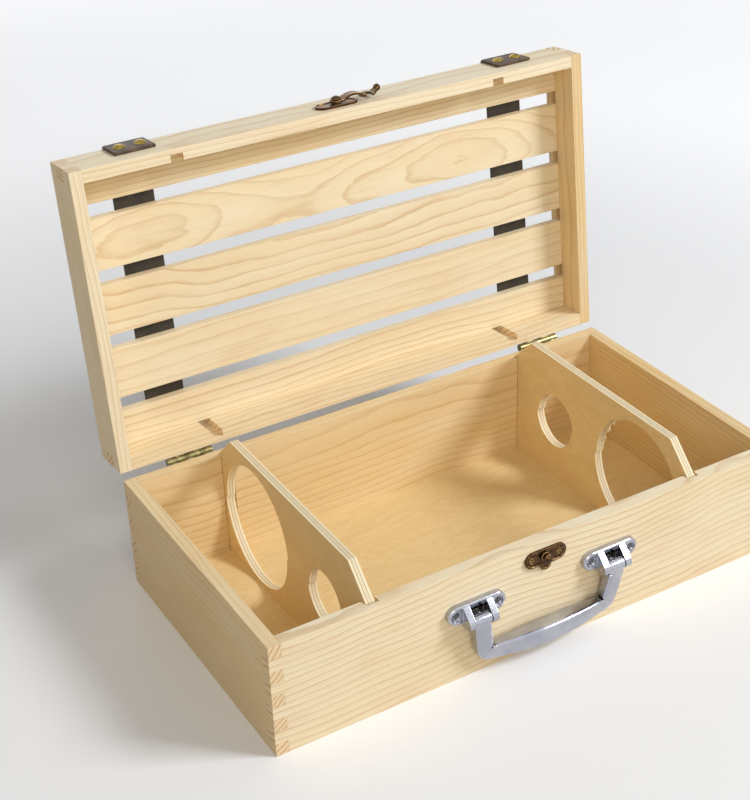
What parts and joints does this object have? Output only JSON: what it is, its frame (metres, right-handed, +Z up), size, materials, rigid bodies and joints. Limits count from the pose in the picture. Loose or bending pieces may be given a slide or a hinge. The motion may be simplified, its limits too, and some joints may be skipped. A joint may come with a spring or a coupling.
{
  "type": "wooden wine box",
  "caption": "Open slatted-lid wooden box with bottle cradles, hook latch, strap trim, hinges and a carrying handle, for wine bottles lying side by side.",
  "frame": {"origin": "centre of the base's underside", "axes": "+Z up, -Y towards the front with the handle, +X to the right along the length"},
  "size_m": [0.36, 0.2616, 0.2773],
  "materials": {
    "pine": "planed bare pine",
    "plywood": "sanded bare plywood with pale layered edges",
    "leather": "near-black smooth leather",
    "brass": "lacquered brass",
    "bronze": "dark antique bronze, bright on the edges",
    "chrome": "polished chrome"
  },
  "bodies": {
    "base": {"base_front_board": "pine", "base_back_board": "pine", "base_left_end": "pine", "base_right_end": "pine", "base_floor": "plywood", "left_lower_cradle": "plywood", "left_upper_cradle": "plywood", "right_lower_cradle": "plywood", "right_upper_cradle": "plywood", "left_hinge_base_leaf": "brass", "right_hinge_base_leaf": "brass", "left_hinge_pin": "brass", "right_hinge_pin": "brass", "hinge_base_screws": "brass", "catch_plate": "bronze", "catch_stud": "bronze", "catch_screws": "bronze", "left_handle_bracket": "chrome", "right_handle_bracket": "chrome", "left_handle_pin": "chrome", "right_handle_pin": "chrome", "handle_bracket_screws": "chrome"},
    "lid": {"lid_front_rail": "pine", "lid_back_rail": "pine", "lid_left_end": "pine", "lid_right_end": "pine", "lid_slat_1": "pine", "lid_slat_2": "pine", "lid_slat_3": "pine", "lid_slat_4": "pine", "lid_slat_5": "pine", "left_strap": "leather", "right_strap": "leather", "strap_nails": "brass", "left_hinge_lid_leaf": "brass", "right_hinge_lid_leaf": "brass", "hinge_lid_screws": "brass", "hook_plate": "bronze", "hook_plate_screws": "bronze", "hook_rivet": "bronze"},
    "hook": {"latch_hook": "bronze"},
    "handle": {"carry_handle": "chrome"}
  },
  "joints": [
    {"name": "lid_hinge", "type": "hinge", "parent": "base", "child": "lid", "pos_m": [0, 0.0995, 0.0762], "axis": [1, 0, 0], "range_deg": [0, 96]},
    {"name": "hook_pivot", "type": "hinge", "parent": "lid", "child": "hook", "pos_m": [0, 0.13139, 0.27249], "axis": [0, -0.1045, -0.9945], "range_deg": [0, 90]},
    {"name": "handle_pivot", "type": "hinge", "parent": "base", "child": "handle", "pos_m": [-0.0016, -0.1045, 0.0445], "axis": [-1, 0, 0], "range_deg": [0, 100]}
  ]
}
